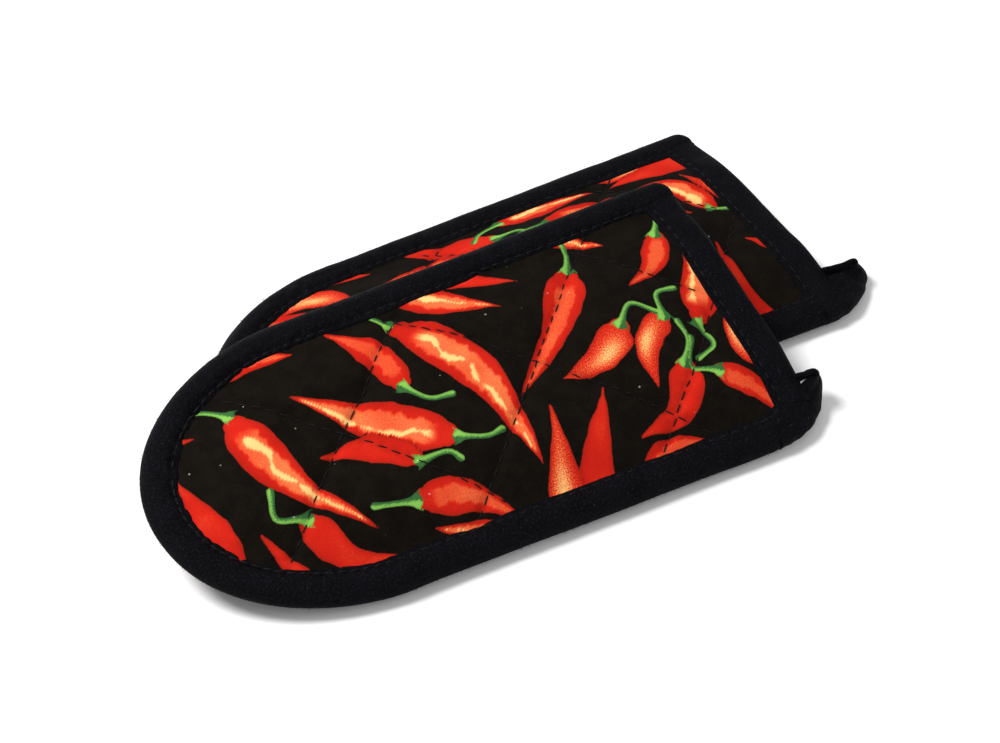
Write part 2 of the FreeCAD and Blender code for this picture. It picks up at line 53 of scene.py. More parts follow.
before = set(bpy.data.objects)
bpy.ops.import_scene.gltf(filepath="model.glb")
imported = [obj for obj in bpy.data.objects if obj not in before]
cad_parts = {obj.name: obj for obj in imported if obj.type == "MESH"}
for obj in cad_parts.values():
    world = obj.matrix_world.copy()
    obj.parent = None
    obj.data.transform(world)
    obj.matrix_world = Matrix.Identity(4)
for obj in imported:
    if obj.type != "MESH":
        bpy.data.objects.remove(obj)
cad_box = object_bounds()
MM = 0.001

# ---------------------------------------------------------------- sizes, taken from the frame
low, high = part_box("rear_edge_binding")
SLANT = math.radians(1.5)
WIDTH = (high.y - low.y) / MM
SOFT_DRAW = 1.4                 # the stuffed mouth draws back a little from its cut length
LENGTH = (high.x - low.x) / MM - math.tan(SLANT) * WIDTH / 2 - SOFT_DRAW
END = 46.0                      # length of the round closed end
HALF_END = 0.4744 * WIDTH       # half the width where the closed end begins
HALF_MOUTH = WIDTH / 2
TAPE = 8.5                      # visible width of the binding
FRONT_TURN, FRONT_TILT = -0.8, 15.5    # degrees, how the front mitt lies
CLOSED_END_OUT = 1.9            # how far the front closed end stands out past its cut length
ROW = 48.65                     # along the mitt between parallel quilting rows
CROSS = (45.6, 1.2)             # where two quilting rows cross

rear_shift = np.array([low.x, (low.y + high.y) / 2, low.z]) / MM
lean = np.array(Matrix.Rotation(math.radians(FRONT_TURN), 3, "Z")
                @ Matrix.Rotation(math.radians(FRONT_TILT), 3, "X"))
corners = np.array([v.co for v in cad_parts["rear_edge_binding"].data.vertices], float) / MM - rear_shift
front_low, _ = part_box("front_edge_binding")
front_shift = np.array(front_low) / MM - (corners @ lean.T).min(0)
PLACE = {"rear": (np.eye(3), rear_shift), "front": (lean, front_shift)}


def smooth(t):
    t = np.clip(t, 0.0, 1.0)
    return t * t * (3 - 2 * t)


def inset(x, y):
    """Distance in from the bound edge, without the mouth."""
    side = HALF_END + (HALF_MOUTH - HALF_END) * (x - END) / (LENGTH - END) - np.abs(y)
    u = (x - END) / END
    v = y / HALF_END
    r = np.sqrt(u * u + v * v) + 1e-9
    g = np.sqrt((u / END) ** 2 + (v / HALF_END) ** 2) / r + 1e-9
    return np.where(x >= END, side, (1 - r) / g)


def mouth_in(x, y):
    """Distance in from the mouth."""
    return (LENGTH - math.tan(SLANT) * y - x) * math.cos(SLANT)


def corner_in(x, y):
    """Distance in from the cut near corner of the mouth."""
    return (147.0 - x) * 0.655 + (y + 36.4) * 0.757


def row_drift(x, y, hand):
    """How far a hand-guided quilting row strays from its straight line."""
    return 0.9 * wobble(x, y, 13, 2 + hand) + 0.3 * wobble(x, y, 4.5, 6 + hand)


def row_gap(x, y):
    """Distance to the nearest quilting row."""
    a = (x + y - row_drift(x, y, 1) - CROSS[0] - CROSS[1] + ROW / 2) % ROW - ROW / 2
    b = (x - y - row_drift(x, y, -1) - CROSS[0] + CROSS[1] + ROW / 2) % ROW - ROW / 2
    return np.minimum(np.abs(a), np.abs(b)) / math.sqrt(2)


# ---------------------------------------------------------------- smooth seeded noise
def noise_table(seed):
    return np.random.default_rng(seed).uniform(-1, 1, (64, 64))


def wobble(x, y, pitch, seed):
    """Smooth seeded noise between -1 and 1 with the given feature size."""
    table = noise_table(seed)
    x = np.asarray(x) / pitch + 100
    y = np.asarray(y) / pitch + 100
    i = np.floor(x).astype(int)
    j = np.floor(y).astype(int)
    u = smooth(x - i)
    v = smooth(y - j)
    a = table[i % 64, j % 64] * (1 - u) + table[(i + 1) % 64, j % 64] * u
    b = table[i % 64, (j + 1) % 64] * (1 - u) + table[(i + 1) % 64, (j + 1) % 64] * u
    return a * (1 - v) + b * v


# ---------------------------------------------------------------- quilting puffs by cloth simulation
PITCH = ROW / 32
COLS = np.arange(-30, 72)
ROWS_Y = np.arange(-26, 27)


def simulate(seed):
    """Blows up the cloth between its sewn rows; returns the rise of each lattice point in mm."""
    gx, gy = np.meshgrid(CROSS[0] + COLS * PITCH, CROSS[1] + ROWS_Y * PITCH, indexing="ij")
    ci, cj = np.meshgrid(COLS, ROWS_Y, indexing="ij")
    sewn = ((ci + cj) % 32 == 0) | ((ci - cj) % 32 == 0)
    gap = row_gap(gx, gy)
    flat = smooth((inset(gx, gy) - 7) / 4) * smooth((mouth_in(gx, gy) - 7) / 4)
    free = (inset(gx, gy) > 8) & (mouth_in(gx, gy) > 8.5) & ~sewn
    scale = 0.05
    start = 0.12 * wobble(gx, gy, 3.2, seed) * free
    points = np.stack([gx * scale, gy * scale, start * scale], -1).reshape(-1, 3)
    n, m = gx.shape
    index = np.arange(n * m).reshape(n, m)
    faces = np.stack([index[:-1, :-1], index[1:, :-1], index[1:, 1:], index[:-1, 1:]], -1).reshape(-1, 4)
    mesh = bpy.data.meshes.new("puff")
    mesh.from_pydata(points.tolist(), [], faces.tolist())
    cloth = bpy.data.objects.new("puff", mesh)
    bpy.context.scene.collection.objects.link(cloth)
    group = cloth.vertex_groups.new(name="sewn")
    group.add(np.flatnonzero(~free.ravel()).tolist(), 1.0, "REPLACE")
    modifier = cloth.modifiers.new("cloth", "CLOTH")
    settings = modifier.settings
    settings.quality = 5
    settings.mass = 0.3
    settings.tension_stiffness = 15
    settings.compression_stiffness = 12
    settings.shear_stiffness = 6
    settings.bending_stiffness = 0.4
    settings.use_pressure = True
    settings.uniform_pressure_force = 4
    settings.shrink_min = -0.035
    settings.vertex_group_mass = "sewn"
    settings.effector_weights.gravity = 0
    modifier.collision_settings.use_collision = False
    modifier.collision_settings.use_self_collision = False
    scene = bpy.context.scene
    for step in range(1, 21):
        scene.frame_set(step)
    result = cloth.evaluated_get(bpy.context.evaluated_depsgraph_get()).to_mesh()
    co = np.zeros(len(result.vertices) * 3, np.float32)
    result.vertices.foreach_get("co", co)
    rise = co.reshape(n, m, 3)[:, :, 2] / scale
    bpy.data.objects.remove(cloth)
    scene.frame_set(1)
    rise = np.where(np.isfinite(rise), rise, 0)
    peak = np.percentile(rise[free], 96)
    return np.clip(rise * 1.5 / max(peak, 0.2), -0.5, 2.0) * flat


def sample(table, x, y):
    """Reads the lattice of a simulation between its points."""
    u = np.clip((np.asarray(x) - CROSS[0]) / PITCH - COLS[0], 0, len(COLS) - 1.001)
    v = np.clip((np.asarray(y) - CROSS[1]) / PITCH - ROWS_Y[0], 0, len(ROWS_Y) - 1.001)
    i = u.astype(int)
    j = v.astype(int)
    u = u - i
    v = v - j
    low_side = table[i, j] * (1 - u) + table[i + 1, j] * u
    high_side = table[i, j + 1] * (1 - u) + table[i + 1, j + 1] * u
    return low_side * (1 - v) + high_side * v


PUFF = {"rear": simulate(3), "front": simulate(8)}


def stitch_wave(x, y):
    """1 where a quilting stitch pulls the cloth down, 0 between stitches."""
    return 0.5 + 0.5 * np.cos((x - y) * 2 * math.pi / 4.4) * np.cos((x + y) * 2 * math.pi / 4.4)


def crown(x, y):
    """Middle surface of the top, without puffs."""
    d = inset(x, y)
    e = mouth_in(x, y)
    rise = 5.0 - 2.0 * smooth(1 - e / 34)
    return 4.75 + rise * smooth((d - 6.5) / 18) ** 0.8


def top_height(x, y, side):
    x = np.asarray(x, float)
    y = np.asarray(y, float)
    d = inset(x, y)
    e = mouth_in(x, y)
    gap = row_gap(x, y)
    open_part = smooth((d - 8.0) / 3) * smooth((e - 8.5) / 3)
    z = crown(x, y) + 0.75 * sample(PUFF[side], x, y)
    z = z - open_part * 0.85 * np.exp(-(gap / 1.5) ** 2) * (0.75 + 0.25 * stitch_wave(x, y))
    seed = 21 if side == "rear" else 35
    pull = np.exp(-np.clip(gap, 0, 9) / 3.0) + np.exp(-np.clip(np.minimum(d, e) - 8, 0, 9) / 3.0)
    z = z + open_part * pull * (0.16 * wobble(x, y, 1.9, seed) + 0.12 * wobble(x, y, 3.7, seed + 1))
    z = z + open_part * (0.10 * wobble(x, y, 5.5, seed + 2) + 0.25 * wobble(x, y, 16, seed + 3))
    return z


def bottom_height(x, y, side):
    x = np.asarray(x, float)
    y = np.asarray(y, float)
    open_part = smooth((inset(x, y) - 8.0) / 3) * smooth((mouth_in(x, y) - 8.5) / 3)
    z = 0.62 - 0.2 * sample(PUFF[side], x, -y) + open_part * 0.3 * np.exp(-(row_gap(x, y) / 1.4) ** 2)
    z = z + open_part * 0.06 * wobble(x, y, 2.6, 50)
    return np.maximum(z, 0.12)


# ---------------------------------------------------------------- mesh building
def to_world(points, side):
    turn, shift = PLACE[side]
    points = np.array(points, float).reshape(-1, 3)
    if side == "front":
        points[:, 0] -= CLOSED_END_OUT * smooth((40 - points[:, 0]) / 40)
    return (points @ turn.T + shift) * MM


def add_mesh(name, points, faces, side, material, fields=None, rounded=True):
    """Makes one piece from mitt coordinates; faces are lists of corners, fields are values at points."""
    mesh = bpy.data.meshes.new(name)
    mesh.from_pydata(to_world(points, side).tolist(), [], [tuple(f) for f in faces])
    mesh.polygons.foreach_set("use_smooth", np.full(len(mesh.polygons), rounded))
    for key, values in (fields or {}).items():
        values = np.asarray(values, np.float32)
        if values.ndim == 2:
            mesh.attributes.new(key, "FLOAT_VECTOR", "POINT").data.foreach_set("vector", values.ravel())
        else:
            mesh.attributes.new(key, "FLOAT", "POINT").data.foreach_set("value", values)
    mesh.materials.append(material)
    mesh.update()
    piece = bpy.data.objects.new(name, mesh)
    bpy.context.scene.collection.objects.link(piece)
    return piece


def slab(name, side, step, edge, lip, top, bottom, material, fields=None):
    """Closed sheet between two height functions, cut to the outline of the mitt."""
    nx = int(LENGTH / step) + 3
    ny = int(WIDTH / step) + 3
    gx, gy = np.meshgrid(np.linspace(0, LENGTH + 1.5, nx), np.linspace(-HALF_MOUTH, HALF_MOUTH, ny),
                         indexing="ij")
    cx = (gx[:-1, :-1] + gx[1:, 1:]) / 2
    cy = (gy[:-1, :-1] + gy[1:, 1:]) / 2
    keep = (inset(cx, cy) > edge) & (mouth_in(cx, cy) > lip) & (corner_in(cx, cy) > edge)
    used = np.zeros((nx, ny), bool)
    for a in (slice(None, -1), slice(1, None)):
        for b in (slice(None, -1), slice(1, None)):
            used[a, b] |= keep
    number = np.full((nx, ny), -1)
    number[used] = np.arange(used.sum())
    count = int(used.sum())
    x = gx[used]
    y = gy[used]
    points = np.concatenate([np.stack([x, y, top(x, y)], 1), np.stack([x, y, bottom(x, y)], 1)])
    i, j = np.nonzero(keep)
    quads = np.stack([number[i, j], number[i + 1, j], number[i + 1, j + 1], number[i, j + 1]], 1)
    faces = [quads, quads[:, ::-1] + count]
    padded_keep = np.pad(keep, 1)
    for di, dj, p, q in ((-1, 0, 3, 0), (1, 0, 1, 2), (0, -1, 0, 1), (0, 1, 2, 3)):
        rim = ~padded_keep[1 + i + di, 1 + j + dj]
        a = quads[rim, p]
        b = quads[rim, q]
        faces.append(np.stack([b, a, a + count, b + count], 1))
    data = {"flat": np.concatenate([points[:count], points[:count]]) * [1, 1, 0]}
    if fields is not None:
        for key, values in fields(x, y).items():
            data[key] = np.concatenate([values, values])
    return add_mesh(name, points, np.concatenate(faces).tolist(), side, material, data)


def spline(points, count):
    """Smooth line through points, with even steps."""
    p = np.asarray(points, float)
    p = np.vstack([2 * p[0] - p[1], p, 2 * p[-1] - p[-2]])
    t = np.linspace(0, 1, 24, endpoint=False)[:, None]
    out = []
    for k in range(1, len(p) - 2):
        a, b, c, d = p[k - 1], p[k], p[k + 1], p[k + 2]
        out.append(0.5 * (2 * b + (c - a) * t + (2 * a - 5 * b + 4 * c - d) * t ** 2
                          + (3 * b - a - 3 * c + d) * t ** 3))
    line = np.vstack(out + [p[-2:-1]])
    reach = np.concatenate([[0], np.cumsum(np.linalg.norm(np.diff(line, axis=0), axis=1))])
    steps = np.linspace(0, reach[-1], count)
    return np.stack([np.interp(steps, reach, line[:, k]) for k in range(line.shape[1])], 1)


def tube(name, side, rings, flat, material):
    """Closed skin over rings of points, rings[station, around], with its flat cloth coordinates."""
    n, m, _ = rings.shape
    index = np.arange(n * m).reshape(n, m)
    after = np.roll(index, -1, 1)
    faces = np.stack([index[:-1], index[1:], after[1:], after[:-1]], -1).reshape(-1, 4).tolist()
    faces += [index[0].tolist(), index[-1][::-1].tolist()]
    return add_mesh(name, rings, faces, side, material, {"flat": flat.reshape(-1, 3)})


def stitches(name, side, centres, along, up, length, width, material):
    """Separate thread stitches, each a bent capsule whose ends dive into the cloth."""
    centres = np.asarray(centres, float)
    along = np.asarray(along, float)
    up = np.asarray(up, float)
    across = np.cross(up, along)
    across /= np.linalg.norm(across, axis=1)[:, None]
    rng = np.random.default_rng(len(centres))
    spin = rng.normal(0, 0.07, len(centres))[:, None]
    along = along + across * spin
    stations = np.array([-0.5, -0.42, -0.25, 0, 0.25, 0.42, 0.5])
    sizes = np.array([0.25, 0.8, 1, 1.05, 1, 0.8, 0.25])
    sink = np.array([-0.75, -0.25, 0.05, 0.16, 0.05, -0.25, -0.75]) * width
    turns = np.arange(8) * math.pi / 4
    rings = []
    for place, thick, drop in zip(stations, sizes, sink):
        middle = centres + along * (place * length) + up * (drop + 0.12 * width)
        ring = [middle + across * (math.cos(t) * width / 2 * thick) + up * (math.sin(t) * width * 0.4 * thick)
                for t in turns]
        rings.append(np.stack(ring, 1))
    points = np.stack(rings, 1)
    count = len(centres)
    index = np.arange(count * 56).reshape(count, 7, 8)
    after = np.roll(index, -1, 2)
    faces = np.stack([index[:, :-1], after[:, :-1], after[:, 1:], index[:, 1:]], -1).reshape(-1, 4)
    faces = faces.tolist() + index[:, 0, ::-1].tolist() + index[:, -1].tolist()
    flat = np.zeros((count, 7, 8, 3), np.float32)
    flat[..., 0] = (np.arange(count)[:, None, None] * 3 + stations[None, :, None] * length)
    flat[..., 1] = (np.arange(8) * 0.15)[None, None, :]
    return add_mesh(name, points, faces, side, material, {"flat": flat.reshape(-1, 3)})


# ---------------------------------------------------------------- materials
def tone(red, green, blue):
    """Display colour, 0 to 255, as the shader's linear colour."""
    out = []
    for value in (red, green, blue):
        v = value / 255
        out.append(v / 12.92 if v <= 0.04045 else ((v + 0.055) / 1.055) ** 2.4)
    return (*out, 1.0)


class Graph:
    def __init__(self, name):
        self.material = bpy.data.materials.new(name)
        self.material.use_nodes = True
        self.tree = self.material.node_tree
        self.shader = self.tree.nodes["Principled BSDF"]

    def add(self, kind, values=None, **settings):
        made = self.tree.nodes.new("ShaderNode" + kind)
        for key, value in settings.items():
            setattr(made, key, value)
        for key, value in (values or {}).items():
            self.put(made.inputs[key], value)
        return made

    def put(self, target, value):
        if isinstance(value, bpy.types.NodeSocket):
            self.tree.links.new(value, target)
        else:
            target.default_value = value

    def math(self, operation, a, b=0.0):
        return self.add("Math", {0: a, 1: b}, operation=operation).outputs[0]

    def field(self, name, output="Fac"):
        return self.add("Attribute", attribute_name=name).outputs[output]

    def noise(self, vector, scale, detail=3.0, rough=0.55):
        return self.add("TexNoise", {"Vector": vector, "Scale": scale, "Detail": detail,
                                     "Roughness": rough}).outputs["Fac"]

    def wave(self, vector, scale, direction, distortion=1.0):
        made = self.add("TexWave", {"Vector": vector, "Scale": scale, "Distortion": distortion, "Detail": 2.0,
                                    "Detail Scale": 1.5}, bands_direction=direction)
        return made.outputs["Fac"]

    def span(self, value, a, b, c=0.0, d=1.0, kind="SMOOTHSTEP"):
        return self.add("MapRange", {0: value, 1: a, 2: b, 3: c, 4: d}, interpolation_type=kind).outputs[0]

    def mix(self, factor, a, b):
        made = self.add("Mix", data_type="RGBA")
        self.put(made.inputs[0], factor)
        self.put(made.inputs[6], a)
        self.put(made.inputs[7], b)
        return made.outputs[2]

    def ramp(self, value, stops):
        made = self.add("ValToRGB", {0: value})
        for _ in range(len(stops) - 2):
            made.color_ramp.elements.new(0.5)
        for element, (place, colour) in zip(made.color_ramp.elements, stops):
            element.position = place
            element.color = colour
        return made.outputs[0]

    def bump(self, height, strength, distance):
        made = self.add("Bump", {"Height": height, "Strength": strength, "Distance": distance})
        self.put(self.shader.inputs["Normal"], made.outputs[0])

    def weave(self, vector, scale):
        warp = self.wave(vector, scale, "X", 0.6)
        weft = self.wave(vector, scale, "Y", 0.6)
        return self.math("MAXIMUM", warp, weft)

    def finish(self, rough, specular, sheen, sheen_rough, tint):
        self.put(self.shader.inputs["Roughness"], rough)
        self.shader.inputs["Specular IOR Level"].default_value = specular
        self.shader.inputs["Sheen Weight"].default_value = sheen
        self.shader.inputs["Sheen Roughness"].default_value = sheen_rough
        self.shader.inputs["Sheen Tint"].default_value = tint
        return self.material


def printed_cotton():
    g = Graph("printed_cotton")
    flat = g.field("flat", "Vector")
    fine = g.noise(flat, 1.6, 4.0, 0.7)
    speck = g.noise(flat, 3.2, 2.0, 0.6)
    broad = g.noise(flat, 0.22, 3.0)
    wander = g.math("MULTIPLY", g.math("SUBTRACT", g.noise(flat, 1.2, 2.0), 0.5), 0.35)
    edge = g.math("ADD", g.field("pepper_edge"), wander)
    inside = g.span(edge, 0.14, -0.14)
    heat = g.field("pepper_heat")
    grain = g.math("MULTIPLY", g.math("SUBTRACT", speck, 0.5), g.field("pepper_grain"))
    level = g.math("ADD", g.math("ADD", heat, grain), g.math("MULTIPLY", g.math("SUBTRACT", fine, 0.5), 0.16))
    fruit = g.ramp(level, [
        (0.0, tone(118, 12, 8)), (0.22, tone(164, 20, 12)), (0.42, tone(198, 33, 19)),
        (0.60, tone(216, 80, 44)), (0.76, tone(232, 134, 78)), (0.94, tone(248, 196, 122))])
    fruit = g.mix(g.span(edge, -0.85, -0.1, 0.0, 0.5), fruit, tone(150, 34, 18))
    ground = g.mix(g.span(broad, 0.3, 0.7), tone(9, 6, 3), tone(17, 12, 7))
    ground = g.mix(g.math("MULTIPLY", g.span(fine, 0.5, 0.78), 0.5), ground, tone(36, 28, 21))
    colour = g.mix(inside, ground, fruit)
    stem_edge = g.math("ADD", g.field("stem_edge"), g.math("MULTIPLY", wander, 0.6))
    green = g.mix(g.span(g.math("ADD", g.field("stem_heat"), g.math("SUBTRACT", speck, 0.5)), 0.25, 0.75),
                  tone(52, 98, 48), tone(124, 182, 78))
    green = g.mix(g.span(stem_edge, -0.5, 0.0, 0.0, 0.55), green, tone(38, 74, 42))
    colour = g.mix(g.span(stem_edge, 0.12, -0.12), colour, green)
    # painted shade, partly dirt: the cloth is darkened towards the quilting rows, where the seam valleys fall
    # into shade
    seam_shade_and_dirt = g.span(g.field("seam_gap"), 1.6, 0.0, 0.0, 0.35)
    colour = g.mix(seam_shade_and_dirt, colour, g.mix(0.5, colour, tone(10, 6, 5)))
    lint = g.add("TexVoronoi", {"Vector": flat, "Scale": 0.16}, feature="F1").outputs["Distance"]
    colour = g.mix(g.span(lint, 0.045, 0.03, 0.0, 0.55), colour, tone(170, 165, 155))
    g.put(g.shader.inputs["Base Color"], colour)
    height = g.math("ADD", g.math("MULTIPLY", g.weave(flat, 0.72), 0.6), g.math("MULTIPLY", fine, 0.7))
    g.bump(height, 0.35, 0.00012)
    rough = g.span(fine, 0.2, 0.8, 0.74, 0.92, "LINEAR")
    return g.finish(rough, 0.05, 0.008, 0.45, (1.0, 0.93, 0.88, 1))


def binding_tape():
    g = Graph("binding_tape")
    flat = g.field("flat", "Vector")
    fine = g.noise(flat, 1.9, 4.0, 0.65)
    broad = g.noise(flat, 0.16, 3.0)
    colour = g.mix(g.span(broad, 0.3, 0.7), tone(2, 2, 4), tone(6, 6, 10))
    colour = g.mix(g.math("MULTIPLY", g.span(fine, 0.48, 0.72), 0.7), colour, tone(30, 30, 38))
    fuzz = g.add("TexVoronoi", {"Vector": flat, "Scale": 0.22}, feature="F1").outputs["Distance"]
    colour = g.mix(g.span(fuzz, 0.04, 0.025, 0.0, 0.3), colour, tone(90, 90, 96))
    g.put(g.shader.inputs["Base Color"], colour)
    ribs = g.wave(flat, 0.42, "DIAGONAL", 1.2)
    weave = g.weave(flat, 0.62)
    height = g.math("ADD", g.math("MULTIPLY", weave, 0.45), g.math("MULTIPLY", ribs, 0.16))
    height = g.math("ADD", height, g.math("MULTIPLY", fine, 1.5))
    g.bump(height, 0.8, 0.00022)
    rough = g.span(fine, 0.2, 0.8, 0.55, 0.8, "LINEAR")
    return g.finish(rough, 0.045, 0.005, 0.35, (0.85, 0.88, 1.0, 1))


def plain_cloth(name, dark, light, scale, strength, specular):
    g = Graph(name)
    flat = g.field("flat", "Vector")
    fine = g.noise(flat, 1.4, 4.0, 0.65)
    broad = g.noise(flat, 0.15, 2.0)
    colour = g.mix(g.span(broad, 0.3, 0.7), dark, light)
    colour = g.mix(g.math("MULTIPLY", g.span(fine, 0.5, 0.8), 0.4), colour, light)
    g.put(g.shader.inputs["Base Color"], colour)
    height = g.math("ADD", g.math("MULTIPLY", g.weave(flat, scale), 0.6), fine)
    g.bump(height, strength, 0.00015)
    return g.finish(g.span(fine, 0.2, 0.8, 0.75, 0.95, "LINEAR"), specular, 0.08, 0.5, (1, 1, 1, 1))


def thread_material():
    g = Graph("thread")
    flat = g.field("flat", "Vector")
    twist = g.wave(flat, 1.1, "DIAGONAL", 0.4)
    fine = g.noise(flat, 2.5, 2.0)
    colour = g.mix(g.span(fine, 0.35, 0.7), tone(3, 3, 4), tone(15, 14, 17))
    g.put(g.shader.inputs["Base Color"], colour)
    g.bump(twist, 0.6, 0.00008)
    return g.finish(g.span(twist, 0.0, 1.0, 0.5, 0.75, "LINEAR"), 0.15, 0.02, 0.4, (1, 1, 1, 1))


PRINT = printed_cotton()
BINDING = binding_tape()
LINING = plain_cloth("lining_cotton", tone(16, 15, 18), tone(34, 32, 36), 0.55, 0.5, 0.15)
WADDING = plain_cloth("wadding", tone(214, 208, 194), tone(238, 234, 224), 0.2, 0.8, 0.1)
THREAD = thread_material()


# ---------------------------------------------------------------- the chilli print
# The print is of this script's own drawing: seeded fruits of four styles, laid out by chance.
CORAL, SUNNY, STIPPLED = 1, 2, 3       # 0 is plain


def scatter(seed, count, room):
    """Lays seeded fruits over a panel, the long ones first, at least about room mm apart.

    Each is its points from tip to stem end, half width, where it is full, style, side of its streak and
    the points of its stem.
    """
    rng = np.random.default_rng(seed)
    fruits = []
    taken = []
    for _ in range(4000):
        if len(fruits) == count:
            break
        start = np.array([rng.uniform(2, 152), rng.uniform(-38, 38)])
        angle = rng.uniform(0, 2 * math.pi)
        reach = rng.uniform(38, 52) if len(fruits) < 7 else rng.uniform(20, 36)
        bend = rng.uniform(-0.22, 0.22)
        heading = np.array([math.cos(angle), math.sin(angle)])
        aside = np.array([-heading[1], heading[0]])
        middle = start + heading * reach * 0.5 + aside * reach * bend
        stop = start + heading * reach
        line = spline([start, middle, stop], 12)
        near = min([np.linalg.norm(line[:, None] - t[None], axis=2).min() for t in taken] or [99])
        if near < rng.uniform(0.8, 1.5) * room or not 4 < middle[0] < 148 or abs(middle[1]) > 35:
            continue
        style = int(rng.integers(4))
        hook = [stop - heading, stop + heading * 5 + aside * 2,
                stop + heading * 8 + aside * rng.uniform(-5, 7)]
        half = reach * 0.07 + rng.uniform(1.5, 2.6)
        full = rng.uniform(0.5, 0.8)
        side = rng.uniform(-0.4, 0.4)
        fruits.append(([start, middle, stop], half, full, style, side, hook))
        taken.append(line)
    return fruits


def nearest(x, y, line):
    """Distance, place along and side of each point against a line."""
    best = np.full(x.shape, 1e9)
    place = np.zeros(x.shape)
    hand = np.zeros(x.shape)
    for k in range(len(line) - 1):
        a = line[k]
        d = line[k + 1] - a
        size = float(d @ d)
        t = np.clip(((x - a[0]) * d[0] + (y - a[1]) * d[1]) / size, 0, 1)
        px = x - a[0] - t * d[0]
        py = y - a[1] - t * d[1]
        gap = px * px + py * py
        closer = gap < best
        best = np.where(closer, gap, best)
        place = np.where(closer, (k + t) / (len(line) - 1), place)
        hand = np.where(closer, np.sign(d[0] * py - d[1] * px), hand)
    return np.sqrt(best), place, hand


def print_fields(fruits, seed):
    def fields(x, y):
        edge = np.full(x.shape, 4.0)
        heat = np.zeros(x.shape)
        grain = np.zeros(x.shape)
        stem = np.full(x.shape, 4.0)
        stem_heat = np.zeros(x.shape)
        for number, (points, half, full, style, side, hook) in enumerate(fruits):
            line = spline(points, 40)
            line = spline(line[:max(8, int(40 * (1 - 0.5 * half / (3.2 * half + 12))))], 26)
            near = (x > line[:, 0].min() - 9) & (x < line[:, 0].max() + 9)
            near &= (y > line[:, 1].min() - 9) & (y < line[:, 1].max() + 9)
            near = np.flatnonzero(near)
            reach = np.linalg.norm(np.diff(line, axis=0), axis=1).sum()
            if len(near):
                gap, s, hand = nearest(x[near], y[near], line)
                body = half * np.clip(s / full, 0, 1)
                body = body * np.sqrt(1 - np.clip((s - 0.84) / 0.17, 0, 1) ** 2 * 0.75)
                body = body * (1 + 0.07 * np.sin(s * 9 + number)) + 0.12
                sd = gap - body + 0.25 * wobble(x[near], y[near], 2.6, seed + number)
                q = hand * gap / np.maximum(body, 0.4)
                mm = s * reach
                jag = wobble(mm, q * 3, 1.5, seed + number) + 0.6 * wobble(mm, q * 5, 0.7, seed + 9)
                drift = wobble(mm, mm * 0, 5.0, seed + 30 + number)
                value = 0.41 + 0.05 * wobble(x[near], y[near], 5, seed + 3) - 0.12 * np.abs(q) ** 3
                core = smooth((s - 0.04) / 0.06) * smooth((0.97 - s) / 0.10)
                if style in (CORAL, SUNNY):
                    wide = 0.55 if style == CORAL else 0.66
                    flesh = smooth((wide + 0.14 * jag - np.abs(q - 0.25 * side)) / 0.13) * core
                    value = value + flesh * (0.26 if style == SUNNY else 0.19) - 0.03
                if style == SUNNY:
                    bright = 0.17 + 0.15 * wobble(mm, mm * 0, 3.4, seed + 50 + number) + 0.08 * jag
                    streak = smooth((bright - np.abs(q - side - 0.26 * drift)) / 0.08 + 0.5)
                    value = value + streak * core * 0.32
                if style == STIPPLED:
                    spread = (q - side) ** 2 / 0.34 + ((s - 0.62) / 0.26) ** 2
                    value = value + 0.46 * np.exp(-spread)
                on_top = (sd < 0.25) | (sd < edge[near])
                edge[near] = np.where(on_top, np.minimum(sd, 4), edge[near])
                heat[near] = np.where(on_top, value, heat[near])
                grain[near] = np.where(on_top, (0.10, 0.30, 0.16, 1.1)[style], grain[near])
            if len(hook):
                line = spline(hook, 18)
                first = line[0]
                away = line[3] - line[0]
                away = away / np.linalg.norm(away)
                aside = np.array([-away[1], away[0]])
                cap = spline([first + aside * 2.3 - away * 1.5, first + aside * 1.1 - away * 0.1,
                              first + away * 0.2, first - aside * 1.1 - away * 0.1,
                              first - aside * 2.3 - away * 1.5], 12)
                near = (np.abs(x - line[:, 0].mean()) < 14) & (np.abs(y - line[:, 1].mean()) < 14)
                near = np.flatnonzero(near)
                if len(near):
                    length = np.linalg.norm(np.diff(line, axis=0), axis=1).sum()
                    gap, s, hand = nearest(x[near], y[near], line)
                    sd = gap - (0.62 + 1.1 * np.exp(-s * length / 1.0) + 0.22 * smooth((s - 0.75) / 0.25))
                    other, t, _ = nearest(x[near], y[near], cap)
                    sd = np.minimum(sd, other - (0.62 - 0.5 * np.abs(2 * t - 1)))
                    closer = sd < stem[near]
                    stem[near] = np.where(closer, sd, stem[near])
                    stem_heat[near] = np.where(closer, 0.5 + 0.45 * hand * smooth(gap / 0.7), stem_heat[near])
        return {"pepper_edge": edge, "pepper_heat": heat, "pepper_grain": grain, "stem_edge": stem,
                "stem_heat": stem_heat, "seam_gap": row_gap(x, y)}
    return fields


# ---------------------------------------------------------------- bound edge and hanging loop
STITCH_PITCH = 3.05             # along the tapes from stitch to stitch
STITCH_LONG, STITCH_WIDE = 2.3, 0.42
EDGE_SKIN, EDGE_BACK = 44, 18   # points round the outside and the inside of the edge tape
LIP_SKIN, LIP_BACK = 46, 12     # the same for the mouth tapes


def edge_path(side):
    """Outer line of the bound edge from the far mouth corner, round the closed end, to the near corner."""
    slope = (HALF_MOUTH - HALF_END) / (LENGTH - END)
    far = [(x, HALF_END + slope * (x - END)) for x in np.arange(LENGTH - 0.9, END, -2.0)]
    bow = [(END - END * math.sin(t), HALF_END * math.cos(t)) for t in np.linspace(0, math.pi, 120)]
    bend = 139 if side == "front" else 145
    near = [(x, -HALF_END - slope * (x - END)) for x in np.arange(END + 2, bend, 2.0)]
    corner = [(bend + 2.5, -38.2), (bend + 6.0, -36.9), (bend + 9.4, -34.9), (bend + 12.4, -32.5)]
    return spline(np.array(far + bow + near + corner), 760)


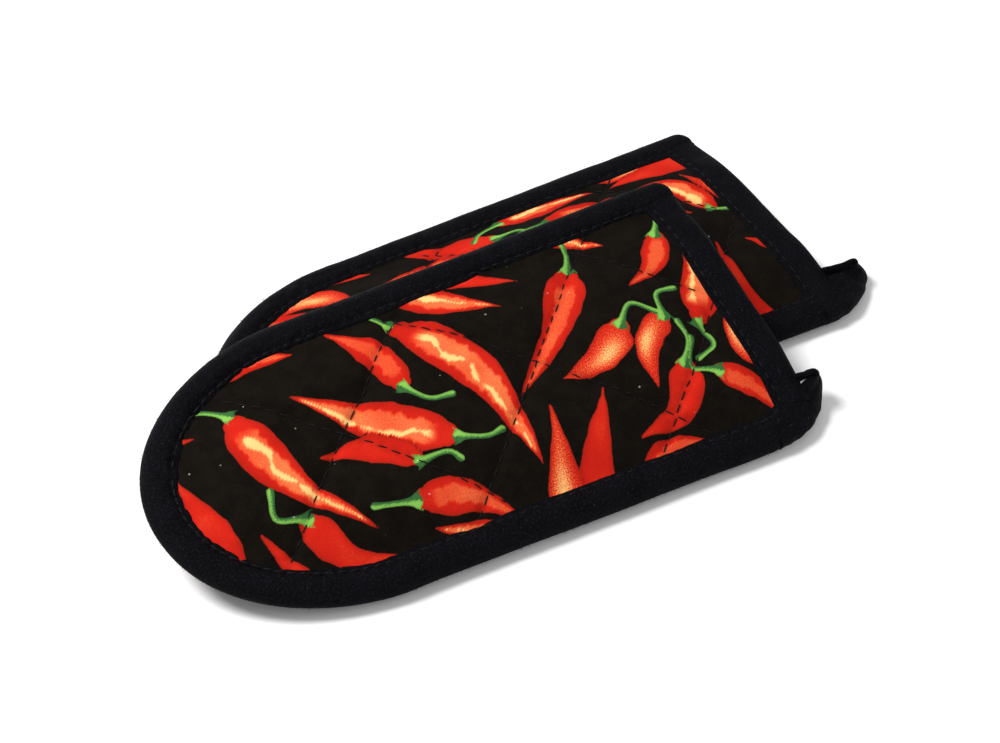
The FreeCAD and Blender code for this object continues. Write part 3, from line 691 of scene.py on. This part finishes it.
def edge_strip(side):
    line = edge_path(side)
    seed = 61 if side == "rear" else 74
    tangent = np.gradient(line, axis=0)
    for _ in range(2):
        kernel = np.ones(7) / 7
        padded_line = np.pad(tangent, ((3, 3), (0, 0)), "edge")
        tangent = np.stack([np.convolve(padded_line[:, c], kernel, "valid") for c in range(2)], 1)
    tangent /= np.linalg.norm(tangent, axis=1)[:, None]
    inward = np.stack([-tangent[:, 1], tangent[:, 0]], 1)
    reach = np.concatenate([[0], np.cumsum(np.linalg.norm(np.diff(line, axis=0), axis=1))])
    outer = spline([(8.35, 4.85), (7.9, 5.4), (6.5, 5.85), (4.6, 6.05), (2.6, 5.65), (0.95, 4.5), (0.12, 2.9),
                    (0.65, 1.35), (2.2, 0.42), (4.6, 0.14), (7.4, 0.2), (8.3, 0.45), (8.4, 0.72)], EDGE_SKIN)
    inner = spline([(8.3, 0.8), (4.6, 0.75), (1.9, 1.2), (1.2, 2.8), (1.9, 4.2), (4.6, 4.75), (8.3, 4.6)],
                   EDGE_BACK)
    profile = np.vstack([outer, inner])
    depth = profile[:, 0][None, :]
    level = profile[:, 1][None, :]
    s = reach[:, None]
    skin = np.concatenate([np.ones(EDGE_SKIN), np.zeros(EDGE_BACK)])[None, :]
    upper = smooth((level - 3.2) / 1.8) * skin
    lower = smooth((1.4 - level) / 1.0) * skin
    bow = smooth((60 - line[:, 0]) / 22)[:, None]
    widen = 0.30 * wobble(s, s * 0, 17, seed) + 0.16 * wobble(s, s * 0, 6, seed + 1)
    depth = depth * (1 + 0.035 * wobble(s, depth * 0, 9, seed + 2)) + widen * smooth((depth - 5) / 3)
    depth = depth + 0.28 * (1 - smooth(depth / 4)) * (wobble(s, level, 11, seed + 3) * 0.6 + 0.2)
    sew = np.exp(-((depth - 7.1) / 0.75) ** 2)
    pucker = 0.5 + 0.5 * np.cos(s * 2 * math.pi / STITCH_PITCH)
    dip = sew * (0.20 + 0.30 * pucker)
    crease = wobble(s, depth, 1.55, seed + 4) * (0.10 + 0.20 * bow) * smooth((depth - 2.2) / 3)
    plump = 0.16 * wobble(s, depth * 0.6, 7.5, seed + 5) + 0.08 * wobble(s, depth, 2.6, seed + 6)
    level = level + upper * (plump + crease - dip) + lower * (0.5 * dip - 0.1 * plump)
    end = np.sqrt(np.clip(1 - (1 - s / 3.4) ** 2, 0, 1)) * (s < 3.4) + (s >= 3.4)
    depth = 5.6 + (depth - 5.6) * (0.2 + 0.8 * end)
    level = 3.4 + (level - 3.4) * (0.4 + 0.6 * end)
    level = np.maximum(level, 0.05)
    x = line[:, 0][:, None] + inward[:, 0][:, None] * depth
    y = line[:, 1][:, None] + inward[:, 1][:, None] * depth
    rings = np.stack([x, y, np.broadcast_to(level, x.shape)], -1)
    around = np.concatenate([np.linspace(0, 17, EDGE_SKIN), np.linspace(17, 25, EDGE_BACK)])
    flat = np.stack(np.broadcast_arrays(s, around[None, :], 0 * s), -1)
    piece = tube(side + "_edge_tape", side, rings[:, ::-1], flat[:, ::-1], BINDING)
    rows = []
    for low_face in (False, True):
        stops = np.arange(1.5, reach[-1] - 6, STITCH_PITCH)
        px = np.interp(stops, reach, line[:, 0])
        py = np.interp(stops, reach, line[:, 1])
        nx = np.interp(stops, reach, inward[:, 0])
        ny = np.interp(stops, reach, inward[:, 1])
        spot = np.stack([px + nx * 7.1, py + ny * 7.1, np.full(len(px), 0.26 if low_face else 5.33)], 1)
        way = np.stack([np.interp(stops, reach, tangent[:, 0]), np.interp(stops, reach, tangent[:, 1]),
                        0 * stops], 1)
        rows.append((spot, way, np.tile([0, 0, -1.0 if low_face else 1.0], (len(px), 1))))
    merged = [np.concatenate([r[k] for r in rows]) for k in range(3)]
    sewn = stitches(side + "_edge_stitches", side, *merged, STITCH_LONG, STITCH_WIDE, THREAD)
    return piece, sewn


def edge_fuzz(side):
    """Loose fibres that stand off the tape."""
    rng = np.random.default_rng(140 if side == "rear" else 151)
    line = edge_path(side)
    pick = rng.integers(8, len(line) - 9, 1500)
    tangent = line[pick + 3] - line[pick - 3]
    tangent /= np.linalg.norm(tangent, axis=1)[:, None]
    inward = np.stack([-tangent[:, 1], tangent[:, 0]], 1)
    turn = rng.uniform(-0.5, 2.4, len(pick))
    root = np.stack([line[pick, 0] + inward[:, 0] * (2.9 - 2.6 * np.cos(turn)),
                     line[pick, 1] + inward[:, 1] * (2.9 - 2.6 * np.cos(turn)), 3.0 + 2.7 * np.sin(turn)], 1)
    out = np.stack([-inward[:, 0] * np.cos(turn), -inward[:, 1] * np.cos(turn), np.sin(turn)], 1)
    along = np.stack([tangent[:, 0], tangent[:, 1], 0 * turn], 1) * rng.normal(0, 1, len(pick))[:, None]
    reach = rng.uniform(0.25, 0.85, len(pick))[:, None]
    middle = root + (out * 0.6 + along * 0.4) * reach
    tip = middle + (out * 0.25 + along * 0.7) * reach
    way = (tip - root) / np.linalg.norm(tip - root, axis=1)[:, None]
    first = np.cross(out, way)
    first = first / (np.linalg.norm(first, axis=1)[:, None] + 1e-9)
    second = np.cross(way, first)
    around = [(first * math.cos(a) + second * math.sin(a)) * 0.03 for a in (0, 2.0944, 4.1888)]
    points = np.stack([root + a for a in around] + [middle + a for a in around] + [tip], 1).reshape(-1, 3)
    points[:, 2] = np.maximum(points[:, 2], 0.06)
    start = np.arange(len(pick))[:, None] * 7
    faces = [[2, 1, 0]]
    for a, b in ((0, 1), (1, 2), (2, 0)):
        faces += [[a, b, b + 3, a + 3], [a + 3, b + 3, 6]]
    faces = [f for corners in faces for f in (start + corners).tolist()]
    return add_mesh(side + "_edge_fuzz", points, faces, side, THREAD, rounded=False)


def hanging_loop(side):
    """The end of the edge tape, turned back past the corner and sewn to the mouth."""
    seed = 83 if side == "rear" else 96
    if side == "front":
        route = [(139.0, -34.4, 3.05), (144.4, -33.7, 3.15), (149.2, -31.6, 3.3), (153.3, -28.6, 3.7),
                 (155.7, -26.2, 4.6), (155.1, -24.7, 5.4), (152.6, -24.7, 5.2), (149.4, -24.1, 5.0)]
    else:
        route = [(144.0, -34.6, 3.05), (148.6, -34.4, 3.1), (153.2, -32.4, 3.2), (157.4, -29.6, 3.6),
                 (159.8, -27.9, 4.3), (159.1, -26.3, 5.1), (155.6, -26.4, 5.0), (150.2, -25.5, 4.8)]
    middle = spline(route, 90)
    t = np.linspace(0, 1, 90)
    half_long = np.interp(t, [0, 0.25, 0.5, 0.62, 0.75, 0.9, 1], [4.15, 4.15, 4.0, 3.7, 2.9, 2.5, 2.3])
    half_thin = np.interp(t, [0, 0.25, 0.5, 0.75, 1], [2.8, 2.3, 1.3, 0.95, 0.9])
    rise = np.radians(np.interp(t, [0, 0.25, 0.5, 0.65, 0.9, 1], [2, 8, 30, 56, 74, 80]))
    tangent = np.gradient(middle, axis=0)
    tangent /= np.linalg.norm(tangent, axis=1)[:, None]
    inward = np.cross([0, 0, 1.0], tangent)
    inward /= np.linalg.norm(inward, axis=1)[:, None]
    third = np.cross(tangent, inward)
    long_way = inward * np.cos(rise)[:, None] + third * np.sin(rise)[:, None]
    thin_way = np.cross(tangent, long_way)
    turns = np.linspace(0, 2 * math.pi, 40, endpoint=False)
    c = np.sign(np.cos(turns)) * np.abs(np.cos(turns)) ** 0.75
    d = np.sign(np.sin(turns)) * np.abs(np.sin(turns)) ** 0.75
    rough = 1 + 0.05 * wobble(t[:, None] * 60, turns[None, :] * 3, 3, seed)
    wide = (c[None, :] * half_long[:, None] * rough)[..., None]
    deep = (d[None, :] * half_thin[:, None] * rough)[..., None]
    rings = middle[:, None, :] + (long_way[:, None, :] * wide + thin_way[:, None, :] * deep)
    fold = np.exp(-((c[None, :] - 0.15) / 0.16) ** 2) * (d[None, :] > 0) * smooth((t[:, None] - 0.3) / 0.2)
    rings = rings - thin_way[:, None, :] * (0.55 * fold * half_thin[:, None])[..., None]
    rings[..., 2] = np.maximum(rings[..., 2], 0.15)
    along = np.concatenate([[0], np.cumsum(np.linalg.norm(np.diff(middle, axis=0), axis=1))])
    flat = np.stack(np.broadcast_arrays(along[:, None], turns[None, :] * 2.6, 0 * along[:, None]), -1)
    return tube(side + "_loop", side, rings[:, ::-1], flat[:, ::-1], BINDING)


def mouth_strip(side, upper):
    """Tape folded over one lip of the mouth."""
    name = side + ("_top" if upper else "_bottom") + "_mouth_tape"
    seed = (110 if side == "rear" else 122) + (0 if upper else 5)
    across = np.arange(-30.5 if side == "front" else -32.5, 34.8, 0.5)
    if upper:
        profile = spline([(9.1, 0.1), (8.7, 0.55), (7.4, 0.78), (5.0, 1.0), (2.6, 1.0), (0.9, 0.55),
                          (0.0, -0.5), (-0.15, -1.3), (0.1, -2.1), (0.9, -2.75), (2.6, -3.05), (6.0, -3.1),
                          (8.8, -3.0), (8.9, -2.6)], LIP_SKIN)
        back = spline([(8.8, -2.5), (2.4, -2.5), (1.2, -1.3), (2.2, -0.1), (9.0, -0.15)], LIP_BACK)
    else:
        profile = spline([(9.1, 0.6), (8.6, 0.28), (7.2, 0.18), (4.0, 0.1), (1.2, 0.2), (0.1, 0.8),
                          (-0.15, 1.5), (0.1, 2.2), (1.0, 2.72), (3.0, 2.85), (6.0, 2.85), (8.7, 2.8),
                          (8.9, 2.5)], LIP_SKIN)[::-1]
        back = spline([(9.0, 0.85), (2.2, 0.85), (1.2, 1.5), (2.2, 2.3), (8.9, 2.4)], LIP_BACK)
    section = np.vstack([profile, back])
    e = section[:, 0][None, :] + 0 * across[:, None]
    h = section[:, 1][None, :] + 0 * across[:, None]
    skin = np.concatenate([np.ones(LIP_SKIN), np.zeros(LIP_BACK)])[None, :]
    v = across[:, None] + 0 * e
    e = e + skin * 0.2 * wobble(v, e * 0, 9, seed)
    x = LENGTH - math.tan(SLANT) * v - e / math.cos(SLANT)
    outside = smooth((h - 0.2) / 0.6) if upper else smooth((0.5 - h) / 0.3)
    pucker = 0.5 + 0.5 * np.cos(v * 2 * math.pi / STITCH_PITCH)
    sew = np.exp(-((e - 7.4) / 0.75) ** 2) * (0.18 + 0.28 * pucker)
    lump = 0.14 * wobble(v, e, 5, seed + 1) + 0.10 * wobble(v, e, 1.9, seed + 2)
    if upper:
        d = inset(LENGTH - 4, v)
        thin = 0.60 + 0.40 * smooth((d - 8) / 10)
        h = np.where(h < 0, h * thin, h)
        base = crown(LENGTH - 4 - v * 0, v)
        level = base + h + skin * outside * (lump - sew)
        level = level - 0.12 * (1 - outside) * skin * wobble(v, e, 4, seed + 3)
    else:
        level = np.maximum(h + skin * outside * (0.5 * sew - 0.05 * lump), 0.06)
    rings = np.stack([x, v, level], -1)
    around = np.linspace(0, 26, rings.shape[1])[None, :]
    flat = np.stack(np.broadcast_arrays(across[:, None] + 0 * around, around, 0 * around), -1)
    piece = tube(name, side, rings[::-1], flat, BINDING)
    stops = np.arange(-28.5, 30, STITCH_PITCH)
    px = LENGTH - math.tan(SLANT) * stops - 7.4
    pz = crown(np.full(len(stops), LENGTH - 4.0), stops) + 0.42 if upper else np.full(len(stops), 0.24)
    spot = np.stack([px, stops, pz], 1)
    way = np.tile([-math.sin(SLANT), math.cos(SLANT), 0.0], (len(stops), 1))
    if upper:
        slope = (crown(px, stops + 0.5) - crown(px, stops - 0.5))
        way = way + np.stack([0 * slope, 0 * slope, slope], 1)
        way /= np.linalg.norm(way, axis=1)[:, None]
    lift = np.tile([0, 0, 1.0 if upper else -1.0], (len(stops), 1))
    sewn = stitches(name.replace("tape", "stitches"), side, spot, way, lift, STITCH_LONG, STITCH_WIDE, THREAD)
    return piece, sewn


def quilt_rows(side, upper):
    height = top_height if upper else bottom_height
    spots = []
    ways = []
    for hand in (1, -1):
        for k in range(-3, 5):
            run = np.arange(-110, 150, 3.3)
            direction = np.array([1.0, float(hand)]) / math.sqrt(2)
            x = CROSS[0] + k * ROW + direction[0] * (run + 0.8 * k)
            y = CROSS[1] + direction[1] * (run + 0.8 * k)
            for _ in range(3):
                stray = ((x - hand * y) - (CROSS[0] + k * ROW - hand * CROSS[1]) - row_drift(x, y, -hand)) / 2
                x = x - stray
                y = y + hand * stray
            keep = (inset(x, y) > TAPE + 0.9) & (mouth_in(x, y) > TAPE + 1.2) & (corner_in(x, y) > TAPE + 1)
            x = x[keep]
            y = y[keep]
            if not len(x):
                continue
            step = 0.6
            slope = (height(x + direction[0] * step, y + direction[1] * step, side)
                     - height(x - direction[0] * step, y - direction[1] * step, side)) / (2 * step)
            way = np.stack([direction[0] + 0 * x, direction[1] + 0 * x, slope], 1)
            spots.append(np.stack([x, y, height(x, y, side) + (0.06 if upper else -0.04)], 1))
            ways.append(way / np.linalg.norm(way, axis=1)[:, None])
    spots = np.concatenate(spots)
    ways = np.concatenate(ways)
    lift = np.tile([0, 0, 1.0 if upper else -1.0], (len(spots), 1))
    name = side + ("_top" if upper else "_bottom") + "_quilting_stitches"
    return stitches(name, side, spots, ways, lift, 2.5, 0.33, THREAD)


# ---------------------------------------------------------------- build both mitts
def ready(piece, side, slot_name, *nodes):
    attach(piece, side + "_mitt")
    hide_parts(*[side + "_" + node for node in nodes])
    return piece


def build(side):
    top_fruits = scatter(44 if side == "front" else 52, 28, 5.4)
    low_fruits = scatter(19 if side == "front" else 23, 20, 8.0)

    def top(x, y):
        return top_height(x, y, side)

    def low_face(x, y):
        return bottom_height(x, y, side)

    def thick(x, y):
        return 0.62 + 0.38 * smooth((inset(x, y) - 7) / 9)

    shell = slab(side + "_quilted_top", side, 0.5, 4.6, 2.2, top, lambda x, y: top(x, y) - 0.35, PRINT,
                 print_fields(top_fruits, 5))
    ready(shell, side, "printed_cotton", "top_shell")
    filling = slab(side + "_top_wadding", side, 1.4, 3.0, 1.6, lambda x, y: top(x, y) - 0.4,
                   lambda x, y: crown(x, y) - 2.1 * thick(x, y), WADDING)
    ready(filling, side, "wadding", "top_batting")
    lining = slab(side + "_top_lining_cloth", side, 1.1, 3.0, 1.6,
                  lambda x, y: crown(x, y) - 2.15 * thick(x, y) + 0.05 * wobble(x, y, 4, 9),
                  lambda x, y: crown(x, y) - 2.42 * thick(x, y) + 0.05 * wobble(x, y, 4, 9), LINING)
    ready(lining, side, "lining_cotton", "top_lining")
    floor_lining = slab(side + "_bottom_lining_cloth", side, 1.1, 2.4, 1.6,
                        lambda x, y: 2.28 + 0.06 * wobble(x, y, 5, 12),
                        lambda x, y: 2.0 + 0.06 * wobble(x, y, 5, 12), LINING)
    ready(floor_lining, side, "lining_cotton", "bottom_lining")
    low_filling = slab(side + "_bottom_wadding", side, 1.4, 2.4, 1.6, lambda x, y: 1.92 + 0 * x,
                       lambda x, y: 1.05 + 0 * x, WADDING)
    ready(low_filling, side, "wadding", "bottom_batting")
    sole = slab(side + "_quilted_underside", side, 0.6, 4.6, 2.2, lambda x, y: low_face(x, y) + 0.3, low_face,
                PRINT, print_fields(low_fruits, 6))
    ready(sole, side, "printed_cotton", "bottom_shell")
    tape, sewn = edge_strip(side)
    ready(tape, side, "binding_tape", "edge_binding")
    ready(sewn, side, "thread", "edge_stitching")
    for upper, word in ((True, "top"), (False, "bottom")):
        lip, lip_sewn = mouth_strip(side, upper)
        ready(lip, side, "binding_tape", word + "_mouth_binding")
        ready(lip_sewn, side, "thread", word + "_mouth_stitching")
        ready(quilt_rows(side, upper), side, "thread", word + "_quilting")
    fibres = edge_fuzz(side)
    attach(fibres, side + "_mitt")
    loop = hanging_loop(side)
    start = to_world([[149.0, -30.0, 2.6]], side)[0]
    stop = to_world([[156.5, -30.0, 2.6]], side)[0]
    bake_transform(loop)
    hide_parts(side + "_hang_loop", side + "_loop_tack")


build("rear")
build("front")


# ---------------------------------------------------------------- floor, light and camera
bpy.ops.mesh.primitive_plane_add(size=6, location=(0, 0, -0.0002))
floor = bpy.context.object
floor.name = "floor"
paper = bpy.data.materials.new("paper")
paper.use_nodes = True
paper.node_tree.nodes["Principled BSDF"].inputs["Base Color"].default_value = (0.93, 0.93, 0.93, 1)
paper.node_tree.nodes["Principled BSDF"].inputs["Roughness"].default_value = 0.95
paper.node_tree.nodes["Principled BSDF"].inputs["Specular IOR Level"].default_value = 0.0
floor.data.materials.append(paper)

world = bpy.data.worlds.new("studio")
world.use_nodes = True
world.node_tree.nodes["Background"].inputs[0].default_value = (1.0, 1.0, 1.0, 1)
world.node_tree.nodes["Background"].inputs[1].default_value = 0.50
bpy.context.scene.world = world


def area_light(name, spot, target, size_m, power):
    light = bpy.data.lights.new(name, "AREA")
    light.shape = "DISK"
    light.size = size_m
    light.energy = power
    lamp = bpy.data.objects.new(name, light)
    lamp.location = spot
    lamp.rotation_euler = (Vector(target) - Vector(spot)).to_track_quat("-Z", "Y").to_euler()
    bpy.context.scene.collection.objects.link(lamp)


middle = (Vector(cad_box[0]) + Vector(cad_box[1])) / 2
aim = Vector((middle.x, middle.y + 0.0021, 0.0))
area_light("key", (aim.x - 0.55, aim.y + 0.35, 0.95), aim, 0.45, 14.0)
area_light("fill", (aim.x + 0.7, aim.y - 0.8, 0.8), aim, 0.9, 3.0)

DISTANCE = 0.600
rise = math.radians(45.2)
yaw = math.radians(28.73)
back = Vector((0, -math.cos(rise), math.sin(rise)))
up = Vector((0, math.sin(rise), math.cos(rise)))
right = Vector((1, 0, 0))
turn = Matrix.Rotation(-yaw, 3, "Z")
back, up, right = turn @ back, turn @ up, turn @ right
camera_data = bpy.data.cameras.new("camera")
camera_data.sensor_width = 36
camera_data.lens = 4.165 * DISTANCE * 36
camera_data.clip_start = 0.01
camera = bpy.data.objects.new("camera", camera_data)
pose = Matrix((right, up, back)).transposed().to_4x4()
pose.translation = aim + back * DISTANCE
camera.matrix_world = pose
bpy.context.scene.collection.objects.link(camera)
bpy.context.scene.camera = camera
bpy.context.scene.view_settings.view_transform = "Standard"
bpy.context.scene.view_settings.look = "None"
